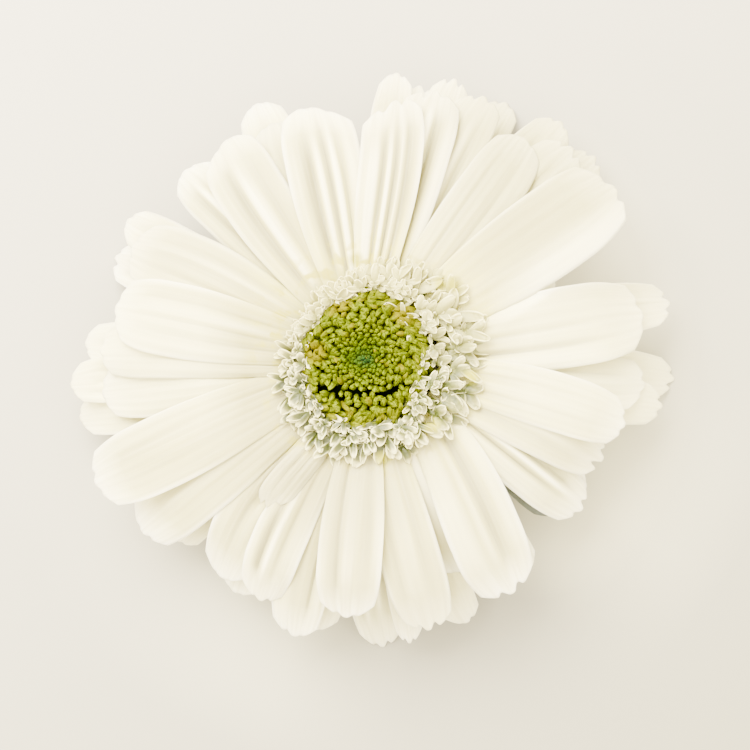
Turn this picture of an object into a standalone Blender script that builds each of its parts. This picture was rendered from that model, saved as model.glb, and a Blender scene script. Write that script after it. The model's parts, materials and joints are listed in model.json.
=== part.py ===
"""A cut gerbera daisy head, lying face up on its stem stub and the tips of its lowest petals.

Metres, +Z up. The origin is on the surface it lies on, under the middle of the flower.
Lengths in the tables and constants below are millimetres, turned into metres by MM.
"""

import math
import random
from collections import namedtuple
from functools import partial

import bmesh
import bpy
from mathutils import Vector
from mathutils.geometry import delaunay_2d_cdt

MM = 0.001
GAP = 0.3

# Stem stub, its foot on the surface and its head in the socket of the involucre.
STEM_RADIUS = 3.3
STEM_TOP = 6.9
STEM_EDGE = 0.15
STEM_EDGE_HEIGHT = 0.4
STEM_WAIST = 0.1
STEM_WAIST_HEIGHT = 2.4
STEM_SIDES = 28

# Cup of the involucre: a bowl whose flat top is the receptacle that the florets stand on.
CUP_BOTTOM = 4.8
CUP_TOP = 16.6
CUP_RADIUS = 14.4
CUP_FIRST_ANGLE = 16.0
CUP_POWER = 0.8
CUP_STEPS = 5
CUP_SIDES = 32
SOCKET_RADIUS = STEM_RADIUS + GAP
SOCKET_TOP = STEM_TOP + GAP

# Rings of floret bases on the receptacle, from the middle outwards.
FLORET_FLOOR = CUP_TOP + GAP
DISC_BASE_RADIUS = 9.4
TRANS_RING_INNER = DISC_BASE_RADIUS + GAP
TRANS_RING_OUTER = 12.0
TRANS_RING_TOP = 22.0
RAY_RING_INNER = TRANS_RING_OUTER + 2 * GAP
RAY_RING_OUTER = 14.8
RAY_RING_OUTER_TOP = 14.2
RAY_RING_TOP = 21.2
RAY_RING_CHAMFER = 0.6
RING_SIDES = 36

# Dome of disc florets.
DOME_RIM_RADIUS = 11.1
DOME_RIM_HEIGHT = 23.6
DOME_HEIGHT = 27.0
DOME_POWER = 2.2
DIMPLE_DEPTH = 0.6
DIMPLE_RADIUS = 2.6
BUD_COUNT = 125
BUD_SPREAD = 0.54
BUD_RELIEF = 0.75
BUD_RELIEF_MIDDLE = 0.65
BUD_SADDLE = -0.35
BUD_MARGIN = 0.9
DOME_SIDES = 38
GOLDEN_ANGLE = math.radians(137.507764)

# Blades of the ray florets, the petals. SLOPE_STEP is the step that their slope is taken over.
SLOPE_STEP = 0.004
RAY_THICKNESS = 0.64
RAY_ROOT_RADIUS = 13.4
RAY_ROOT_HEIGHT = 17.3
RAY_LEVEL_STEP = 0.93
RAY_CLAW = 0.36
RAY_WIDEST = 0.66
RAY_END_START = 0.74
RAY_END_TAPER = 0.34
RAY_END_ROUND = 2.2
RAY_SAG_POWER = 2.4
RAY_CURL_START = 0.78
RAY_BEND_POWER = 1.5
RAY_ARCH = 0.4
RAY_RIDGE = 0.22
RAY_RELIEF_GROWN = 0.2
RAY_RELIEF_FADES = 0.8
RAY_RELIEF_AT_TIP = 0.4
RAY_STATIONS = (0.0, 0.27, 0.56, 0.83, 1.0)

# A level of petals: how far it lifts past its root, the height of its tip, how far the tip curls
# down, and how many lines of points cross the blade.
Level = namedtuple("Level", "lift tip curl across")
LEVELS = (
    Level(0.0, 5.0, 0.4, 5),
    Level(0.6, 8.2, 0.6, 5),
    Level(1.2, 12.2, 1.2, 7),
    Level(1.9, 15.4, 1.6, 7),
    Level(2.7, 18.6, 1.8, 7),
)
RESTING_TIP = -0.1

# Each petal: azimuth of its tip in degrees from +X, reach and width, its level, how many degrees
# further round its root stands, how deep its end is toothed, whether it rests on the surface, and
# how much shorter it is on its left side (on its right side, where this is negative).
Petal = namedtuple(
    "Petal", "azimuth reach width level bend teeth rests slant", defaults=(False, 0.0)
)
UPPER_PETALS = (
    Petal(8.8, 50.6, 14.6, 3, -1.0, 0.8),
    Petal(20.5, 36.5, 12.5, 3, 0.0, 0.4),
    Petal(34.7, 55.2, 15.8, 4, -0.5, 1.4, slant=2.5),
    Petal(46.3, 53.6, 11.5, 2, 0.0, 1.4),
    Petal(54.4, 49.3, 11.6, 3, 1.0, 0.4),
    Petal(66.3, 52.6, 10.5, 2, 1.0, 1.1),
    Petal(74.5, 50.6, 11.5, 3, 1.0, 0.7),
    Petal(83.8, 48.9, 11.6, 4, 0.6, 0.7, slant=4.5),
    Petal(102.8, 48.4, 14.0, 3, 1.0, 0.3, slant=-3.0),
    Petal(113.0, 47.4, 10.6, 2, 1.5, 0.3),
    Petal(123.8, 48.6, 12.6, 3, 0.5, 0.3, slant=1.5),
    Petal(134.6, 49.2, 10.6, 2, -1.0, 0.3),
    Petal(154.6, 48.4, 12.8, 3, -2.5, 0.5),
    Petal(168.6, 47.2, 13.6, 4, 0.0, 0.4),
    Petal(178.0, 49.6, 11.0, 3, 1.0, 0.5),
    Petal(186.5, 50.0, 11.5, 2, 0.0, 0.5),
    Petal(204.0, 55.2, 13.5, 3, -1.0, 0.9),
    Petal(216.5, 52.6, 12.5, 2, 0.0, 0.5),
    Petal(235.2, 48.3, 11.0, 2, -4.0, 0.5),
    Petal(236.0, 34.5, 7.5, 4, 8.0, 0.3),
    Petal(245.2, 48.2, 10.0, 3, 1.0, 0.9),
    Petal(254.3, 52.4, 10.5, 2, 1.0, 0.9),
    Petal(265.6, 47.0, 11.8, 4, 1.5, 0.6),
    Petal(283.0, 50.4, 11.2, 3, -2.0, 1.1),
    Petal(302.2, 50.0, 14.8, 4, 8.5, 1.0),
    Petal(324.2, 46.8, 11.0, 2, 4.0, 1.1),
    Petal(336.8, 46.4, 10.6, 3, 3.0, 1.4),
    Petal(345.6, 48.3, 10.6, 4, 3.0, 0.7),
    Petal(354.8, 50.4, 10.8, 2, 0.0, 0.7),
)
LOWER_PETALS = (
    Petal(10.7, 55.6, 9.5, 1, 0.0, 1.1),
    Petal(25.7, 37.0, 9.0, 0, 0.0, 0.4),
    Petal(42.7, 55.6, 9.5, 0, 0.0, 1.1),
    Petal(51.6, 56.0, 9.5, 1, 0.0, 0.5),
    Petal(63.5, 54.0, 9.0, 0, 0.0, 0.7, True),
    Petal(73.8, 54.2, 8.5, 1, 0.0, 1.1),
    Petal(80.5, 51.8, 9.0, 0, 0.0, 1.1),
    Petal(85.2, 53.4, 7.5, 1, 2.0, 0.5),
    Petal(104.5, 47.0, 9.0, 0, -3.0, 0.3),
    Petal(114.4, 52.4, 10.2, 1, 0.0, 0.4),
    Petal(130.4, 47.6, 9.0, 0, 0.0, 0.4),
    Petal(150.3, 52.8, 8.8, 1, -3.0, 0.4),
    Petal(158.2, 53.2, 9.5, 0, 0.0, 1.4, True),
    Petal(176.0, 54.2, 9.0, 0, 0.0, 0.4),
    Petal(184.0, 56.4, 9.0, 1, 0.0, 0.7),
    Petal(190.4, 56.0, 9.0, 0, 0.0, 0.4),
    Petal(208.5, 52.4, 9.5, 0, 0.0, 0.7, True),
    Petal(222.1, 47.4, 9.0, 1, 0.0, 0.4),
    Petal(239.1, 47.0, 9.0, 0, 0.0, 0.4),
    Petal(257.5, 50.6, 9.5, 1, 0.0, 0.4),
    Petal(271.0, 52.7, 9.0, 0, 0.0, 1.1, True),
    Petal(277.6, 52.2, 6.0, 1, 0.0, 0.7),
    Petal(289.5, 51.0, 9.0, 0, 0.0, 0.4),
    Petal(306.0, 48.2, 9.5, 1, 0.0, 0.7),
    Petal(327.4, 44.0, 9.0, 0, 0.0, 0.7),
    Petal(350.9, 53.8, 9.0, 1, 0.0, 1.1),
    Petal(356.8, 55.2, 9.0, 0, 0.0, 1.1, True),
)

# Rows of trans florets, the short white ones round the disc: their count, the radius and height of
# their tips, and their width. They reach further on the side that LONG_SIDE names.
TransRow = namedtuple("TransRow", "count root bow reach tip width")
TRANS_ROWS = (
    TransRow(22, 10.2, (12.5, 23.2), 14.2, 26.2, 1.9),
    TransRow(25, 10.8, (13.0, 24.6), 16.6, 25.6, 2.2),
    TransRow(28, 11.4, (13.6, 24.0), 19.2, 24.5, 2.5),
)
TRANS_ROOT_HEIGHT = 21.0
TRANS_KEEL = 0.75
TRANS_STATIONS = (0.0, 0.5, 1.0)
TRANS_WIDTHS = (0.45, 1.0, 0.6)
LONG_SIDE = math.radians(-25.0)
LONG_SIDE_SHARE = 0.4
TRANS_SEED = 11

# Rows of bracts up the outside of the cup: their count, the cup angles they run between, how far
# their tips stand off and their width.
BractRow = namedtuple("BractRow", "count start end stand_off width")
BRACT_ROWS = (
    BractRow(12, 17.0, 47.0, 1.1, 3.3),
    BractRow(15, 40.0, 67.0, 1.2, 3.3),
    BractRow(18, 60.0, 87.0, 1.2, 3.2),
)
BRACT_KEEL = 0.9
BRACT_SINK = 0.25
BRACT_TURN = 0.37
BRACT_STATIONS = (0.0, 0.35, 0.7)
BRACT_WIDTHS = (0.75, 1.0, 0.72)

WHITE = (0.91, 0.89, 0.80)
PALE_GREEN_WHITE = (0.86, 0.87, 0.72)
BUD_GREEN = (0.42, 0.45, 0.03)
BRACT_GREEN = (0.16, 0.27, 0.06)
STEM_GREEN = (0.28, 0.40, 0.12)


def clear_scene():
    for obj in list(bpy.data.objects):
        bpy.data.objects.remove(obj, do_unlink=True)


def material(name, colour, roughness):
    made = bpy.data.materials.new(name)
    made.use_nodes = True
    shader = made.node_tree.nodes["Principled BSDF"]
    shader.inputs["Base Color"].default_value = (*colour, 1.0)
    shader.inputs["Roughness"].default_value = roughness
    shader.inputs["Metallic"].default_value = 0.0
    return made


def smoothstep(low, high, x):
    t = max(0.0, min(1.0, (x - low) / (high - low)))
    return t * t * (3.0 - 2.0 * t)


def polar(radius, angle, height):
    return Vector((radius * math.cos(angle), radius * math.sin(angle), height))


def object_from(name, points, faces):
    """A new object from points in millimetres and faces, with its faces turned outwards."""
    mesh = bpy.data.meshes.new(name)
    mesh.from_pydata([p * MM for p in points], [], faces)
    shape = bmesh.new()
    shape.from_mesh(mesh)
    bmesh.ops.recalc_face_normals(shape, faces=shape.faces)
    bmesh.ops.triangulate(shape, faces=[f for f in shape.faces if len(f.verts) > 3])
    shape.to_mesh(mesh)
    shape.free()
    obj = bpy.data.objects.new(name, mesh)
    bpy.context.scene.collection.objects.link(obj)
    return obj


def turned(name, profile, sides):
    """A solid of revolution from (radius, height) points, closed on itself or on the axis."""
    points, rings, faces = [], [], []
    for radius, height in profile:
        if radius == 0.0:
            rings.append([len(points)] * sides)
            points.append(Vector((0.0, 0.0, height)))
            continue
        rings.append(list(range(len(points), len(points) + sides)))
        points += [polar(radius, math.tau * k / sides, height) for k in range(sides)]
    on_axis = profile[0][0] == 0.0
    pairs = list(zip(rings, rings[1:])) + ([] if on_axis else [(rings[-1], rings[0])])
    for lower, upper in pairs:
        for k in range(sides):
            n = (k + 1) % sides
            corners = [lower[k], lower[n], upper[n], upper[k]]
            faces.append(list(dict.fromkeys(corners)))
    return object_from(name, points, faces)


def fuse(base, repeats):
    """Joins the repeats to the base in one Boolean union and drops sealed hollows and scraps."""
    group = bpy.data.collections.new(base.name + "_repeats")
    bpy.context.scene.collection.children.link(group)
    for obj in repeats:
        bpy.context.scene.collection.objects.unlink(obj)
        group.objects.link(obj)
    union = base.modifiers.new("Union", "BOOLEAN")
    union.operation = "UNION"
    union.operand_type = "COLLECTION"
    union.collection = group
    union.solver = "MANIFOLD"
    graph = bpy.context.evaluated_depsgraph_get()
    joined = bpy.data.meshes.new_from_object(base.evaluated_get(graph))
    base.modifiers.clear()
    base.data = joined
    for obj in list(group.objects):
        bpy.data.objects.remove(obj, do_unlink=True)
    bpy.data.collections.remove(group)
    keep_largest_body(joined)


def keep_largest_body(mesh):
    shape = bmesh.new()
    shape.from_mesh(mesh)
    left = set(shape.verts)
    bodies = []
    while left:
        seed = left.pop()
        body, front = {seed}, [seed]
        while front:
            vert = front.pop()
            for edge in vert.link_edges:
                other = edge.other_vert(vert)
                if other in left:
                    left.discard(other)
                    body.add(other)
                    front.append(other)
        bodies.append(body)
    bodies.sort(key=len, reverse=True)
    for body in bodies[1:]:
        bmesh.ops.delete(shape, geom=list(body), context="VERTS")
    shape.to_mesh(mesh)
    shape.free()


def finished(obj, look):
    obj.data.materials.clear()
    obj.data.materials.append(look)
    obj.data.shade_smooth()
    obj.data.set_sharp_from_angle(angle=math.radians(40.0))
    return obj


def cup_point(angle, stand_off=0.0):
    """(radius, height) on the cup's outside at an angle up from its foot, in degrees."""
    a = math.radians(angle)
    radius = CUP_RADIUS * math.sin(a) ** CUP_POWER
    height = CUP_TOP - (CUP_TOP - CUP_BOTTOM) * math.cos(a)
    return radius + stand_off * math.sin(a), height - stand_off * math.cos(a)


def stem():
    profile = (
        (0.0, 0.0),
        (STEM_RADIUS - STEM_EDGE, 0.0),
        (STEM_RADIUS, STEM_EDGE_HEIGHT),
        (STEM_RADIUS - STEM_WAIST, STEM_WAIST_HEIGHT),
        (STEM_RADIUS, STEM_TOP),
        (0.0, STEM_TOP),
    )
    return turned("stem", profile, STEM_SIDES)


def bract(row, turn):
    """One bract: a keeled blade from the cup's side to a free tip, with its root sunk in the cup."""
    points, faces = [], []
    for station, share in zip(BRACT_STATIONS, BRACT_WIDTHS):
        out = row.stand_off * station - BRACT_SINK
        angle = row.start + (row.end - row.start) * station
        radius, height = cup_point(angle, out)
        keel_radius, keel_height = cup_point(angle, out + BRACT_KEEL)
        half = 0.5 * row.width * share / radius
        points.append(polar(radius, turn - half, height))
        points.append(polar(radius, turn + half, height))
        points.append(polar(keel_radius, turn, keel_height))
    radius, height = cup_point(row.end, row.stand_off)
    points.append(polar(radius, turn, height))
    tip = len(points) - 1
    faces.append((0, 2, 1))
    for k in range(0, tip - 3, 3):
        for a, b in ((0, 1), (1, 2), (2, 0)):
            faces.append((k + a, k + b, k + 3 + b, k + 3 + a))
    for a, b in ((0, 1), (1, 2), (2, 0)):
        faces.append((tip - 3 + a, tip - 3 + b, tip))
    return object_from("bract", points, faces)


def involucre():
    step = (90.0 - CUP_FIRST_ANGLE) / CUP_STEPS
    outside = [cup_point(CUP_FIRST_ANGLE + step * k) for k in range(CUP_STEPS + 1)]
    foot = outside[0][1]
    profile = [(0.0, SOCKET_TOP), (SOCKET_RADIUS, SOCKET_TOP), (SOCKET_RADIUS, foot)]
    profile += outside + [(0.0, CUP_TOP)]
    cup = turned("involucre", profile, CUP_SIDES)
    bracts = []
    for number, row in enumerate(BRACT_ROWS):
        for k in range(row.count):
            bracts.append(bract(row, math.tau * (k + BRACT_TURN * number) / row.count))
    fuse(cup, bracts)
    return cup


def ribs_of(petal):
    """Ridges lie along the middle of the blade and near each edge, with grooves between."""
    return 3.0 if LEVELS[petal.level].across == 7 else 2.0


def petal_middle(petal, t, v):
    """The point halfway through a petal's blade: t runs from its root to its tip, v from edge to edge."""
    level = LEVELS[petal.level]
    root = RAY_ROOT_HEIGHT + RAY_LEVEL_STEP * petal.level
    tip = RESTING_TIP if petal.rests else level.tip
    radius = RAY_ROOT_RADIUS + (petal.reach - RAY_ROOT_RADIUS) * t
    turn = math.radians(petal.azimuth + petal.bend * (1.0 - t) ** RAY_BEND_POWER)
    height = root + level.lift * math.sin(math.pi * t)
    height -= (root - tip - level.curl) * t**RAY_SAG_POWER
    height -= level.curl * smoothstep(RAY_CURL_START, 1.0, t) ** 1.5
    swell = RAY_CLAW + (1.0 - RAY_CLAW) * math.sin(math.pi / 2 * min(t / RAY_WIDEST, 1.0))
    narrowed = max(0.0, (t - RAY_END_START) / (1.0 - RAY_END_START))
    half = 0.5 * petal.width * swell * (1.0 - RAY_END_TAPER * narrowed**2)
    grown = smoothstep(0.0, RAY_RELIEF_GROWN, t)
    grown *= 1.0 - (1.0 - RAY_RELIEF_AT_TIP) * smoothstep(RAY_RELIEF_FADES, 1.0, t)
    relief = RAY_RIDGE * math.cos(ribs_of(petal) * math.pi * v) - RAY_ARCH * v * v
    along = polar(radius, turn, height + relief * grown)
    side = Vector((-math.sin(turn), math.cos(turn), 0.0))
    return along + side * (half * v)


def blade(middle, across, end):
    """A closed blade of even thickness about the middle surface, cut at the end that end(v) gives.

    Its underside stays above the surface, and both faces are split into the same triangles.
    """
    top, bottom = [], []
    for u in RAY_STATIONS:
        for j in range(across):
            v = -1.0 + 2.0 * j / (across - 1)
            t = u * end(v)
            along = middle(min(t + SLOPE_STEP, 1.0), v) - middle(max(t - SLOPE_STEP, 0.0), v)
            cross = middle(t, min(v + SLOPE_STEP, 1.0)) - middle(t, max(v - SLOPE_STEP, -1.0))
            half = along.cross(cross).normalized() * (RAY_THICKNESS / 2)
            point = middle(t, v)
            point.z += max(0.0, half.z - point.z)
            top.append(point + half)
            bottom.append(point - half)
    offset = len(top)
    faces = []
    for i in range(len(RAY_STATIONS) - 1):
        for j in range(across - 1):
            a, b = i * across + j, i * across + j + 1
            c, d = b + across, a + across
            faces += [(a, b, c), (a, c, d)]
            faces += [(a + offset, c + offset, b + offset), (a + offset, d + offset, c + offset)]
    last = len(RAY_STATIONS) - 1
    rim = list(range(across))
    rim += [i * across + across - 1 for i in range(1, last + 1)]
    rim += [last * across + j for j in range(across - 2, -1, -1)]
    rim += [i * across for i in range(last - 1, 0, -1)]
    for here, there in zip(rim, rim[1:] + rim[:1]):
        faces.append((here, here + offset, there + offset, there))
    return object_from("petal", top + bottom, faces)


def rounded_end(petal):
    """How far along each line of the blade runs: a rounded end with a notch between its teeth."""
    ribs = ribs_of(petal)
    length = petal.reach - RAY_ROOT_RADIUS

    def end(v):
        groove = 0.5 - 0.5 * math.cos(ribs * math.pi * v)
        slant = abs(petal.slant) * ((1.0 + math.copysign(1.0, petal.slant) * v) / 2) ** 1.5
        return 1.0 - (RAY_END_ROUND * v * v + petal.teeth * groove + slant) / length

    return end


def ray_florets():
    profile = (
        (RAY_RING_INNER, FLORET_FLOOR),
        (RAY_RING_OUTER, FLORET_FLOOR),
        (RAY_RING_OUTER_TOP, RAY_RING_TOP),
        (RAY_RING_INNER + RAY_RING_CHAMFER, RAY_RING_TOP),
        (RAY_RING_INNER, RAY_RING_TOP - RAY_RING_CHAMFER),
    )
    ring = turned("ray_florets", profile, RING_SIDES)
    petals = []
    for petal in UPPER_PETALS + LOWER_PETALS:
        middle = partial(petal_middle, petal)
        petals.append(blade(middle, LEVELS[petal.level].across, rounded_end(petal)))
    fuse(ring, petals)
    return ring


def trans_floret(row, turn, lean):
    """One trans floret: a keeled tongue that rises from its ring and arches out over the petals' roots."""
    length = row.reach - row.root
    reach = row.reach + length * LONG_SIDE_SHARE * math.cos(turn - LONG_SIDE) + lean
    start = Vector((row.root, TRANS_ROOT_HEIGHT))
    bow = Vector(row.bow)
    end = Vector((reach, row.tip - 0.3 * abs(lean)))
    points, faces = [], []
    for t, share in zip(TRANS_STATIONS, TRANS_WIDTHS):
        radius, height = start * (1 - t) ** 2 + bow * (2 * t * (1 - t)) + end * t * t
        slope = ((bow - start) * (1 - t) + (end - bow) * t).normalized()
        half = 0.5 * row.width * share / radius
        points.append(polar(radius, turn - half, height))
        points.append(polar(radius, turn + half, height))
        keel = TRANS_KEEL * share
        points.append(polar(radius + slope[1] * keel, turn, height - slope[0] * keel))
    last = len(points) - 3
    faces.append((0, 2, 1))
    for k in range(0, last, 3):
        for a, b in ((0, 1), (1, 2), (2, 0)):
            faces.append((k + a, k + b, k + 3 + b, k + 3 + a))
    faces.append((last, last + 1, last + 2))
    return object_from("trans_floret", points, faces)


def trans_florets():
    profile = (
        (TRANS_RING_INNER, FLORET_FLOOR),
        (TRANS_RING_OUTER, FLORET_FLOOR),
        (TRANS_RING_OUTER, TRANS_RING_TOP),
        (TRANS_RING_INNER, TRANS_RING_TOP),
    )
    ring = turned("trans_florets", profile, RING_SIDES)
    draw = random.Random(TRANS_SEED)
    florets = []
    for number, row in enumerate(TRANS_ROWS):
        for k in range(row.count):
            turn = math.tau * (k + 0.5 * number + draw.uniform(-0.18, 0.18)) / row.count
            florets.append(trans_floret(row, turn, draw.uniform(-0.3, 0.3)))
    fuse(ring, florets)
    return ring


def dome_height(radius):
    fall = (DOME_HEIGHT - DOME_RIM_HEIGHT) * (radius / DOME_RIM_RADIUS) ** DOME_POWER
    return DOME_HEIGHT - fall - DIMPLE_DEPTH * math.exp(-((radius / DIMPLE_RADIUS) ** 2))


def disc_florets():
    """A dome set with buds in a golden-angle spiral.

    Each bud is a peak, with a saddle half way to each neighbour and a valley between three.
    """
    flat = []
    for k in range(BUD_COUNT):
        radius = (DOME_RIM_RADIUS - BUD_MARGIN) * ((k + 0.5) / BUD_COUNT) ** BUD_SPREAD
        flat.append(Vector((radius * math.cos(k * GOLDEN_ANGLE), radius * math.sin(k * GOLDEN_ANGLE))))
    for k in range(DOME_SIDES):
        angle = math.tau * k / DOME_SIDES
        flat.append(Vector((DOME_RIM_RADIUS * math.cos(angle), DOME_RIM_RADIUS * math.sin(angle))))
    flat, _, triangles, *_ = delaunay_2d_cdt(flat, [], [], 0, 1e-6)

    def lifted(spot, relief):
        swell = BUD_RELIEF_MIDDLE + (1.0 - BUD_RELIEF_MIDDLE) * spot.length / DOME_RIM_RADIUS
        return Vector((spot.x, spot.y, dome_height(spot.length) + relief * swell))

    def on_rim(spot):
        return spot.length > DOME_RIM_RADIUS - 0.05

    points = [lifted(p, -BUD_RELIEF if on_rim(p) else BUD_RELIEF) for p in flat]
    middles, faces = {}, []

    def middle(a, b):
        key = (min(a, b), max(a, b))
        if key not in middles:
            points.append(lifted((flat[a] + flat[b]) / 2, BUD_SADDLE * BUD_RELIEF))
            middles[key] = len(points) - 1
        return middles[key]

    for a, b, c in triangles:
        points.append(lifted((flat[a] + flat[b] + flat[c]) / 3, -BUD_RELIEF))
        centre = len(points) - 1
        for p, q in ((a, b), (b, c), (c, a)):
            if on_rim(flat[p]) and on_rim(flat[q]):
                faces.append((p, q, centre))
                continue
            half = middle(p, q)
            faces += [(p, half, centre), (half, q, centre)]
    rim = [i for i, spot in enumerate(flat) if on_rim(spot)]
    rim.sort(key=lambda i: math.atan2(flat[i].y, flat[i].x))
    rings = [rim]
    for radius, height in ((DISC_BASE_RADIUS, TRANS_RING_TOP + GAP), (DISC_BASE_RADIUS, FLORET_FLOOR)):
        first = len(points)
        for i in rim:
            points.append(polar(radius, math.atan2(flat[i].y, flat[i].x), height))
        rings.append(list(range(first, first + len(rim))))
    for upper, lower in zip(rings, rings[1:]):
        for k in range(len(rim)):
            n = (k + 1) % len(rim)
            faces.append((upper[k], lower[k], lower[n], upper[n]))
    points.append(Vector((0.0, 0.0, FLORET_FLOOR)))
    for k in range(len(rim)):
        faces.append((rings[-1][(k + 1) % len(rim)], rings[-1][k], len(points) - 1))
    return object_from("disc_florets", points, faces)


def main():
    clear_scene()
    finished(stem(), material("stem", STEM_GREEN, 0.55))
    finished(involucre(), material("involucre", BRACT_GREEN, 0.6))
    finished(ray_florets(), material("ray_florets", WHITE, 0.5))
    finished(trans_florets(), material("trans_florets", PALE_GREEN_WHITE, 0.5))
    finished(disc_florets(), material("disc_florets", BUD_GREEN, 0.45))


main()
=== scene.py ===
"""The finish of a cut gerbera daisy head, lying face up on its stem stub and its lowest petals.

Metres, +Z up. The flower's sizes below are millimetres, turned into metres by MM.
"""

import json
import math
from collections import namedtuple

import bpy
import numpy as np
from mathutils import Matrix, Vector
from mathutils.bvhtree import BVHTree

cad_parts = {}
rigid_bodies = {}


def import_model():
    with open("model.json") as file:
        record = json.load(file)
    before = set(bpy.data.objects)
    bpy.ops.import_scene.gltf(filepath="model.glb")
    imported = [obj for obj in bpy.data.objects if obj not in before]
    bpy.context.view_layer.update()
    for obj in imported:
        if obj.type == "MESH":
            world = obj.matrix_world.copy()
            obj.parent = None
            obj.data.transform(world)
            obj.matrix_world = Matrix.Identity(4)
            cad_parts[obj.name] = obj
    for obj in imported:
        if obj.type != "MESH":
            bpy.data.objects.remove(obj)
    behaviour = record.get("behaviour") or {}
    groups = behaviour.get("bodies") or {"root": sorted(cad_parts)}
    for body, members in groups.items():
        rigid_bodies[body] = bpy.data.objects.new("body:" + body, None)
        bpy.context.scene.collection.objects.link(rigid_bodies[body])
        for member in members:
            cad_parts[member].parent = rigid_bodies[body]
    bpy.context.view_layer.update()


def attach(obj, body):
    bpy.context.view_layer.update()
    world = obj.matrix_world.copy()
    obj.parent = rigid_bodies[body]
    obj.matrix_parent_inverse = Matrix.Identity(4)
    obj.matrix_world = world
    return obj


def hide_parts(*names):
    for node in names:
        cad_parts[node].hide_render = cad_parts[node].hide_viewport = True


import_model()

MM = 0.001
GOLDEN_ANGLE = math.radians(137.507764)
# The space between pieces that lie on each other.
GAP = 0.3

# The camera: how far it leans off the vertical and to which side, its distance in metres from AIM,
# which is the point in the middle of the picture, and the size there of one of its pixels.
CAMERA_LEAN = math.radians(6.0)
CAMERA_SIDE = math.radians(-20.0)
CAMERA_DISTANCE = 0.75
PIXEL = 0.183 * MM
PICTURE_PIXELS = 750
AIM = Vector((0.8, -2.65, 12.0)) * MM
SENSOR = 36.0

# The light from the upper left, the light from all round and the surface, all in metres.
KEY_PLACE = (-0.28, 0.5, 0.72)
KEY_SIZE = 0.9
KEY_POWER = 76.0
KEY_COLOUR = (1.0, 0.90, 0.68)
SKY_COLOUR = (1.0, 0.87, 0.60, 1.0)
SKY_STRENGTH = 7.4
FLOOR_HALF = 1.5

# Stem stub and cup, and the height under which there are no hairs.
STEM_RADIUS = 3.3
STEM_TOP = 6.9
STEM_RIBS = 9
CUP_BOTTOM = 4.8
CUP_TOP = 16.6
CUP_RADIUS = 14.4
CUP_FIRST_ANGLE = 16.0
CUP_POWER = 0.8
CUP_HOLLOW = 7.2
HAIRLESS = 1.0
FLORET_FLOOR = CUP_TOP + GAP

# Blades of the petals. CLAW is the width of a root as a share of the greatest width. WIDEST,
# END_START, CURL_START and RELIEF_GROWN are places along a blade, from 0 to 1. GROOVES are the
# sets of grooves that are drawn from, as places across a blade from -1 to 1.
ROOT_RADIUS = 13.4
ROOT_HEIGHT = 19.6
LEVEL_STEP = 0.28
PETAL_ROWS = 44
PETAL_COLUMNS = 31
PETAL_THICKNESS = 0.34
PETAL_EDGE_THICKNESS = 0.1
PETAL_CLEARANCE = 0.05
CLAW = 0.58
WIDEST = 0.66
END_START = 0.74
END_TAPER = 0.34
END_ROUND = 2.5
SAG_POWER = 2.4
CURL_START = 0.74
BEND_POWER = 1.5
GROOVE = 1.15
GROOVES = ((-0.42, 0.0, 0.42), (-0.33, 0.33), (-0.33, 0.33), (-0.5, -0.12, 0.3), (-0.1,))
PLEAT = 0.05
WAVE = 0.5
RELIEF_GROWN = 0.2
RESTING_TIP = -0.1
PETAL_SEED = 5
# The tone of the petal without folds, which lies in deep shade.
SHADED = 100
# The point round which the roots of the petals are in shade.
SHADED_ROOTS = (-6.0, -9.0, 20.0)

# A level of petals: how far it lifts past its root, the height of its tip and how far the tip
# curls down.
Level = namedtuple("Level", "lift tip curl")
LEVELS = (
    Level(1.6, 5.0, 0.6),
    Level(1.9, 8.2, 0.9),
    Level(2.2, 12.2, 1.5),
    Level(2.5, 15.4, 2.0),
    Level(2.7, 18.6, 2.2),
)

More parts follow.
